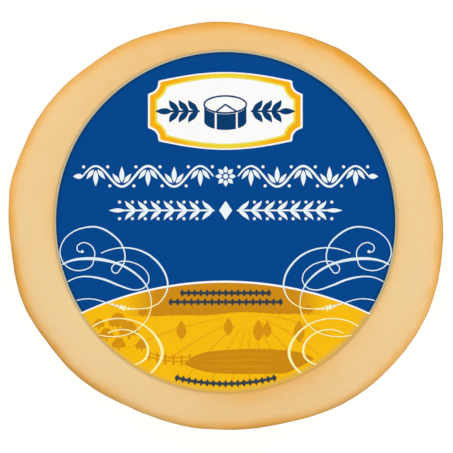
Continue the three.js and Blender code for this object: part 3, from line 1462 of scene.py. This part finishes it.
@dataclass(frozen=True)
class Flourishes:
    """Scrollwork that comes in from both sides of the label, white over the blue and pale over the gold."""

    label: Label
    fields: Fields
    strokes: tuple[Stroke, ...] = (
        Stroke(
            (
                Turn((42.6, -7.75), (1.05, 1.2), (-120, 60)), Turn((41.8, -9.6), (3.4, 3.45), (90, 200)),
                Turn((43.1, -9.6), (5.3, 4.78), (225, 330)), Turn((39.0, -8.9), (9.65, 7.4), (0, 90)),
                (36.0, -2.15), (33.1, -3.95), (30.8, -6.3), (29.6, -9.4), (29.8, -12.0),
                Turn((32.3, -13.85), (1.15, 1.3), (205, 400)), (31.6, -11.9), (29.9, -11.6), (27.4, -11.95),
                (24.9, -13.1), (22.9, -15.2), (22.6, -17.5), (24.1, -19.5), (26.9, -20.05), (31.2, -18.75),
                (35.6, -17.0), (40.0, -16.15), (43.4, -16.35), (46.5, -17.75),
            ),
            0.31, ((0.44, 0.08, 0.2), (0.88, 0.06, 0.28)), ball=0.44,
        ),
        Stroke(
            (
                (48.15, -12.7), (44.8, -11.3), (40.0, -10.85), (34.6, -11.5), (30.3, -12.9), (26.3, -15.4),
                (23.4, -18.6), (22.0, -22.3), (22.0, -25.9), (23.6, -29.4), (26.9, -32.3), (31.6, -33.7),
                (37.1, -33.3),
            ),
            0.3, ((0.19, 0.15, 0.58), (0.42, 0.1, 0.22)),
        ),
        Stroke(
            (
                (36.7, -9.35), (33.6, -8.15), (30.0, -7.65), (26.3, -8.1), (22.6, -9.7), (19.4, -12.6),
                (17.4, -16.2), (17.1, -19.6), (18.8, -23.1), (21.9, -25.1), (25.7, -25.6), (30.1, -25.3),
                (34.4, -24.0), (38.5, -22.8), (41.3, -22.7), (43.9, -23.2),
            ),
            0.29, ((0.33, 0.18, 0.28),),
        ),
        Stroke(
            (
                (39.1, -30.9), (36.0, -29.2), (31.8, -28.45), (27.6, -28.95), (23.8, -30.6), (20.7, -33.5),
                (18.9, -36.8), (18.7, -39.4), (19.95, -42.2), (22.2, -44.6),
            ),
            0.38, ((0.76, 0.2, 0.5),),
        ),
        Stroke(
            (
                (34.7, -32.8), (30.9, -31.7), (27.3, -32.25), (24.2, -34.4), (22.8, -37.3), (23.4, -40.0),
                (26.75, -42.05),
            ),
            0.34, ((0.72, 0.22, 0.36),),
        ),
    )
    bud: Point = (30.3, -25.25)
    bud_lean: float = 22.0  # degrees that the bud's stroke climbs outwards
    bud_rays: tuple[float, ...] = (0, 40, 140, 180, 220, 320)
    bud_leaf: Point = (1.2, 0.62)  # length and width
    bud_heart: float = 0.45
    beads: tuple[Triple, ...] = (  # x, y and radius
        (33.1, -24.3, 0.3), (31.9, -24.75, 0.4), (28.5, -25.55, 0.46), (27.6, -25.6, 0.34),
        (26.8, -25.65, 0.34),
    )
    switch: Point = (-4.0, 0.2)  # the ink turns from pale to white over this distance past the arc

    def bud_shapes(self) -> list[Shape]:
        """Lay out the bud that sits on the long outer stroke.

        Returns:
            A burst of short leaves round a dot, and the beads beside it.
        """
        length, width = self.bud_leaf
        rays_out = [leaf((0, 0), (length, 0), width).turned(ray + self.bud_lean) for ray in self.bud_rays]
        shapes = [shape.moved(*self.bud) for shape in [*rays_out, dot((0, 0), self.bud_heart)]]
        return shapes + [dot((x, y), radius) for x, y, radius in self.beads]

    def build(self) -> None:
        """Print both halves of the scrollwork."""
        start, end = self.switch
        ink = ZonedInkFinish(
            "flourish_ink", Slot.PALE, (255, 249, 176), (254, 246, 168),
            centre=self.label.at(*self.fields.arc_centre),
            radii=(self.fields.arc_radius + start, self.fields.arc_radius + end),
            far_colour=(224, 244, 255),
        )
        shapes = [shape for stroke in self.strokes for shape in stroke.shapes()] + self.bud_shapes()
        for side in Side:
            half = [shape.on(side) for shape in shapes]
            self.label.print(f"flourish_{side.name.lower()}", half, Layer.PEN, ink)


# --- The printed hillside ---


@dataclass(frozen=True)
class Hillside:
    """A farmed hillside in ochres on the gold: a far slope, trees, fields with furrows, and a fence."""

    label: Label
    fields: Fields
    furrow_ink: InkFinish = InkFinish("furrow_ink", Slot.GOLD, (241, 178, 16), (238, 174, 15))
    middle_ink: InkFinish = InkFinish("ochre_ink", Slot.OCHRE, (219, 150, 16), (214, 145, 16))
    deep_ink: InkFinish = InkFinish("deep_ochre_ink", Slot.OCHRE, (209, 141, 16), (204, 136, 16))
    rim_gap: float = 2.4  # nothing dark is nearer than this to the label's edge
    slope_reach: float = 31.0  # how far out the far slope goes on both sides
    slope_foot: float = -27.2
    slope_waves: tuple[Triple, ...] = ((0.5, 8.5, 0.6), (0.2, 3.1, 0.0))  # height, length / 2 pi and phase
    slope_middle: float = -22.0  # it turns to gold round here, between two distances
    slope_fade: Point = (20.5, 29.5)
    wood_reach: float = 24.0  # how far out the trees along its foot go
    seed: int = 8
    trees: int = 19  # along the slope's foot
    tree_sizes: Point = (0.7, 1.25)
    tree_shift: float = 0.8  # how far they are from an even spacing at most
    tree_sink: float = 0.2  # how far their feet are below the slope's
    trunk: float = 0.3  # a tree's measures are shares of its size
    crowns: tuple[Triple, ...] = ((0, 1.5, 1), (-0.75, 1.1, 0.62), (0.75, 1.15, 0.58))  # x, y and radius
    grove: tuple[Triple, ...] = (  # x and y of each tree's foot, and its size
        (-37.2, -31.6, 1.2), (-35.0, -35.0, 1.5), (-31.6, -31.8, 2.0), (-28.4, -34.6, 2.1),
        (-31.4, -37.8, 1.5), (-24.6, -38.0, 1.4),
    )
    poplars: tuple[Triple, ...] = (  # x and y of each foot, and its height, which is twice its width
        (-13.0, -34.6, 5.6), (0.8, -33.4, 5.2), (9.6, -35.0, 6.2), (12.2, -34.0, 4.8), (21.6, -35.4, 6.4),
    )
    furrow_foot: Point = (7.0, -27.0)  # where the furrows run together
    furrow_angles: Point = (196, 344)
    furrows: int = 11
    furrow_start: float = 0.2  # the share of the way to the label's edge where they start
    furrow_width: float = 1.2
    furrow_sag: float = 1.6
    front_ends: Point = (-12.5, 28.0)
    front_heights: Point = (-44.7, -37.7)
    front_drop: float = 4.2  # how far the upper edge comes down at its ends
    front_climb: float = 3.2  # how far the lower edge goes up there
    front_wave: Point = (0.35, 5.5)  # along its upper edge: height, and length / 2 pi
    ridges: Triple = (0.3, 0.56, 0.8)  # the furrows in it, as shares of its height
    ridge_width: float = 0.64
    fence_ends: Point = (-22.5, -10.5)
    fence_foot: Point = (-14.0, -42.2)  # the lowest point of the line along the posts' feet
    fence_sag: float = 0.02  # that line's rise, for each square of the distance from there
    post: Point = (3.0, 0.5)  # height and width
    posts: int = 6
    rails: Point = (1.1, 2.2)
    rail_width: float = 0.32

    @property
    def reach(self) -> float:
        """How far from the label's centre dark print may go."""
        return self.label.radius - self.rim_gap

    def far_foot(self, x: Array) -> Array:
        """Work out the height of the far slope's foot along X, which is a wavy line."""
        return self.slope_foot + sum(rise * np.sin(x / length + at) for rise, length, at in self.slope_waves)

    def region(self, low: Array | float, high: Array | float, x: Array) -> Shape:
        """Fill the space between two heights.

        Args:
            low: The lower height at each x.
            high: The upper height.
            x: The places along X.

        Returns:
            The filled shape, kept inside the gold field.
        """
        floor = -np.sqrt(np.maximum(self.reach**2 - x**2, 0))
        high = np.clip(high, floor, self.fields.arc(x))
        low = np.clip(low, floor, high)
        return between(np.stack([x, low], -1), np.stack([x, high], -1), 14)

    def tree(self, x: float, foot: float, size: float) -> list[Shape]:
        """Lay out a tree: a trunk under a round crown with two smaller ones beside it."""
        crowns = [dot((x + dx * size, foot + dy * size), share * size) for dx, dy, share in self.crowns]
        return [straight((x, foot), (x, foot + size), self.trunk * size), *crowns]

    def wood(self) -> list[Shape]:
        """Lay out the line of trees along the far slope's foot.

        Returns:
            The trees, unevenly spaced and sized.
        """
        draw = np.random.default_rng(self.seed)
        places = np.linspace(-self.wood_reach, self.wood_reach, self.trees)
        places = places + draw.uniform(-self.tree_shift, self.tree_shift, self.trees)
        sizes = draw.uniform(*self.tree_sizes, self.trees)
        feet = self.far_foot(places) - self.tree_sink
        return [shape for place in zip(places, feet, sizes) for shape in self.tree(*place)]

    def furrow_fan(self) -> list[Shape]:
        """Lay out the furrows.

        Returns:
            Bars that widen from where they run together almost to the label's edge.
        """
        foot = np.array(self.furrow_foot)
        share = np.linspace(self.furrow_start, 1, 30)
        half_width = self.furrow_width / 2 * share * (1 - share**6)
        shapes = []
        for degrees in np.linspace(*self.furrow_angles, self.furrows):
            way = rays(math.radians(degrees))
            along = foot @ way
            reach = -along + math.sqrt(along**2 + self.reach**2 - foot @ foot)
            sag = np.array([0, self.furrow_sag]) * np.sin(share * math.pi)[:, None] * abs(way[0])
            shapes.append(band(foot + way * (reach * share)[:, None] + sag, half_width))
        return shapes

    def front_field(self) -> tuple[Shape, list[Shape]]:
        """Lay out the ploughed front field.

        Returns:
            A lens whose two edges close in as powers of the share from its middle, and three furrows in it.
        """
        x = np.linspace(*self.front_ends, 90)
        share = np.linspace(-1, 1, 90)
        low, high = self.front_heights
        rise, length = self.front_wave
        upper = high + rise * np.sin(x / length) - self.front_drop * share**6
        lower = low + self.front_climb * share**4
        lines = []
        for level in self.ridges:
            ridge = np.stack([x, lower * (1 - level) + upper * level], -1)[8:-24]
            lines.append(band(ridge, self.ridge_width / 2 * np.sin(np.linspace(0, math.pi, len(ridge)))))
        return self.region(lower, upper, x), lines

    def fence(self) -> list[Shape]:
        """Lay out the fence.

        Returns:
            Posts along a sagging line, and two rails.
        """
        x = np.linspace(*self.fence_ends, self.posts)
        foot = self.fence_foot[1] + self.fence_sag * (x - self.fence_foot[0]) ** 2
        height, width = self.post
        posts = [straight((across, up), (across, up + height), width) for across, up in zip(x, foot)]
        return posts + [band(np.stack([x, foot + up], -1), self.rail_width / 2) for up in self.rails]

    def build(self) -> None:
        """Print the hillside, from the furrows to the fence."""
        label = self.label
        slope_ink = ZonedInkFinish(
            "slope_ink", Slot.OCHRE, (211, 143, 20), (206, 138, 20),
            centre=label.at(0, self.slope_middle), radii=self.slope_fade, far_colour=(250, 190, 13),
        )
        x = np.linspace(-self.slope_reach, self.slope_reach, 110)
        slope = self.region(self.far_foot(x), 0.0, x)
        field, ridges = self.front_field()
        grove = [shape for place in self.grove for shape in self.tree(*place)]
        poplars = [leaf((x, foot), (x, foot + height), height / 2) for x, foot, height in self.poplars]
        label.print("furrows", self.furrow_fan(), Layer.FIRST, self.furrow_ink)
        label.print("far_slope", [slope], Layer.SECOND, slope_ink)
        label.print("front_field", [field], Layer.SECOND, self.deep_ink)
        label.print("ridges", ridges, Layer.THIRD, self.middle_ink)
        label.print("grove", grove + poplars, Layer.THIRD, self.middle_ink)
        label.print("wood", self.wood(), Layer.THIRD, self.deep_ink)
        label.print("fence", self.fence(), Layer.THIRD, self.middle_ink)


# --- The studio ---


@dataclass(frozen=True)
class Studio:
    """A pale tent of light, and a long lens that looks straight down on the label."""

    disc: Disc
    aim: Point = (0.24, -0.1)
    frame_width: float = 135.4  # what the picture spans at the level of the belly
    lens: float = 300.0
    sensor: float = 36.0
    sight: Point = (0.05, 50.0)  # the nearest and the furthest that it sees, in metres
    lamp_distance: float = 900.0
    lamp_size: float = 620.0
    lamps: tuple[Triple, ...] = (  # degrees round, degrees above the horizon, and watts
        (125, 48, 1.98), (40, 48, 1.76), (215, 48, 1.97), (320, 48, 2.0), (50, 13, 0.22), (120, 13, 0.34),
    )
    tent: tuple[Point, ...] = ((0.0, 1.0), (0.16, 0.8), (0.5, 0.4), (1.0, 0.1))  # sine of height, and light
    floor_half: float = 9000.0
    floor_level: float = -0.2
    floor_grey: float = 0.42
    floor_reach: Point = (80.0, 900.0)  # the glow grows between these distances
    floor_glow: Point = (0.72, 0.9)

    def camera(self) -> None:
        """Hang the camera over the disc, as far up as its lens needs to span the frame."""
        data = bpy.data.cameras.new("camera")
        data.lens, data.sensor_width = self.lens, self.sensor
        data.clip_start, data.clip_end = self.sight
        camera = add_object("camera", data)
        height = self.disc.belly + self.frame_width * self.lens / self.sensor
        camera.location = Vector((*self.aim, height)) * MM
        bpy.context.scene.camera = camera

    def light(self) -> None:
        """Set large square lamps round the disc, most of them towards the top of the label."""
        for azimuth, height, power in self.lamps:
            data = bpy.data.lights.new(f"lamp_{azimuth}_{height}", "AREA")
            data.energy, data.size = power, self.lamp_size * MM
            lamp = add_object(data.name, data)
            turn, up = math.radians(azimuth), math.radians(height)
            way = Vector((math.cos(turn) * math.cos(up), math.sin(turn) * math.cos(up), math.sin(up)))
            lamp.location = way * self.lamp_distance * MM
            lamp.rotation_mode = "QUATERNION"
            lamp.rotation_quaternion = way.to_track_quat("Z", "Y")
            lamp.visible_camera = False

    def world(self) -> None:
        """Light the world from a white horizon up to a dim zenith, so that the label keeps its deep blue."""
        world = bpy.data.worlds.new("tent")
        world.use_nodes = True
        tree = world.node_tree
        place = tree.nodes.new("ShaderNodeTexCoord")
        parts = tree.nodes.new("ShaderNodeSeparateXYZ")
        ramp = tree.nodes.new("ShaderNodeValToRGB")
        fill_ramp(ramp, [(at, (level, level, level, 1)) for at, level in self.tent])
        tree.links.new(place.outputs["Generated"], parts.inputs[0])
        tree.links.new(parts.outputs["Z"], ramp.inputs["Fac"])
        tree.links.new(ramp.outputs["Color"], tree.nodes["Background"].inputs["Color"])
        bpy.context.scene.world = world

    def floor(self) -> None:
        """Lay a plain white floor, which glows a little, and more further out where the lamps fade."""
        shader = Shader("white_floor")
        away = shader.node("ShaderNodeVectorMath", shader.place, operation="LENGTH").outputs["Value"]
        (near, far), (dim, bright) = self.floor_reach, self.floor_glow
        glow = shader.remap(away, From_Min=near * MM, From_Max=far * MM, To_Min=dim, To_Max=bright)
        shader.set(
            Emission_Strength=glow,
            Emission_Color=(1, 1, 1, 1),
            Base_Color=(self.floor_grey, self.floor_grey, self.floor_grey, 1),
            Roughness=0.9,
            Specular_IOR_Level=0.0,
        )
        mesh = bpy.data.meshes.new("floor")
        half, level = self.floor_half * MM, self.floor_level * MM
        corners = [(-half, -half, level), (half, -half, level), (half, half, level), (-half, half, level)]
        mesh.from_pydata(corners, [], [(0, 1, 2, 3)])
        mesh.materials.append(shader.material)
        floor = add_object("floor", mesh)

    def build(self) -> None:
        """Set up the camera, the lamps, the world and the floor."""
        self.camera()
        self.light()
        self.world()
        self.floor()
        bpy.context.scene.view_settings.view_transform = "Standard"


def main() -> None:
    """Build the cheese, its label, the print and the studio."""
    logging.basicConfig(level=logging.INFO, format="%(name)s: %(message)s")
    disc = Disc()
    label = Label(disc)
    fields = Fields(label)
    parts = (
        CheeseBody(disc, label.centre, label.radius), label, fields,
        Hillside(label, fields), Cartouche(label), VineRow(label), SprigRow(label),
        BeadRow(label, "upper_beads", -20.95, 12.7), BeadRow(label, "lower_beads", -23.6, 16.1),
        BeadRow(label, "curved_beads", -47.6, 14.4, radius=61.0), Flourishes(label, fields), Studio(disc),
    )
    for part in parts:
        part.build()


if __name__ == "__main__":
    main()
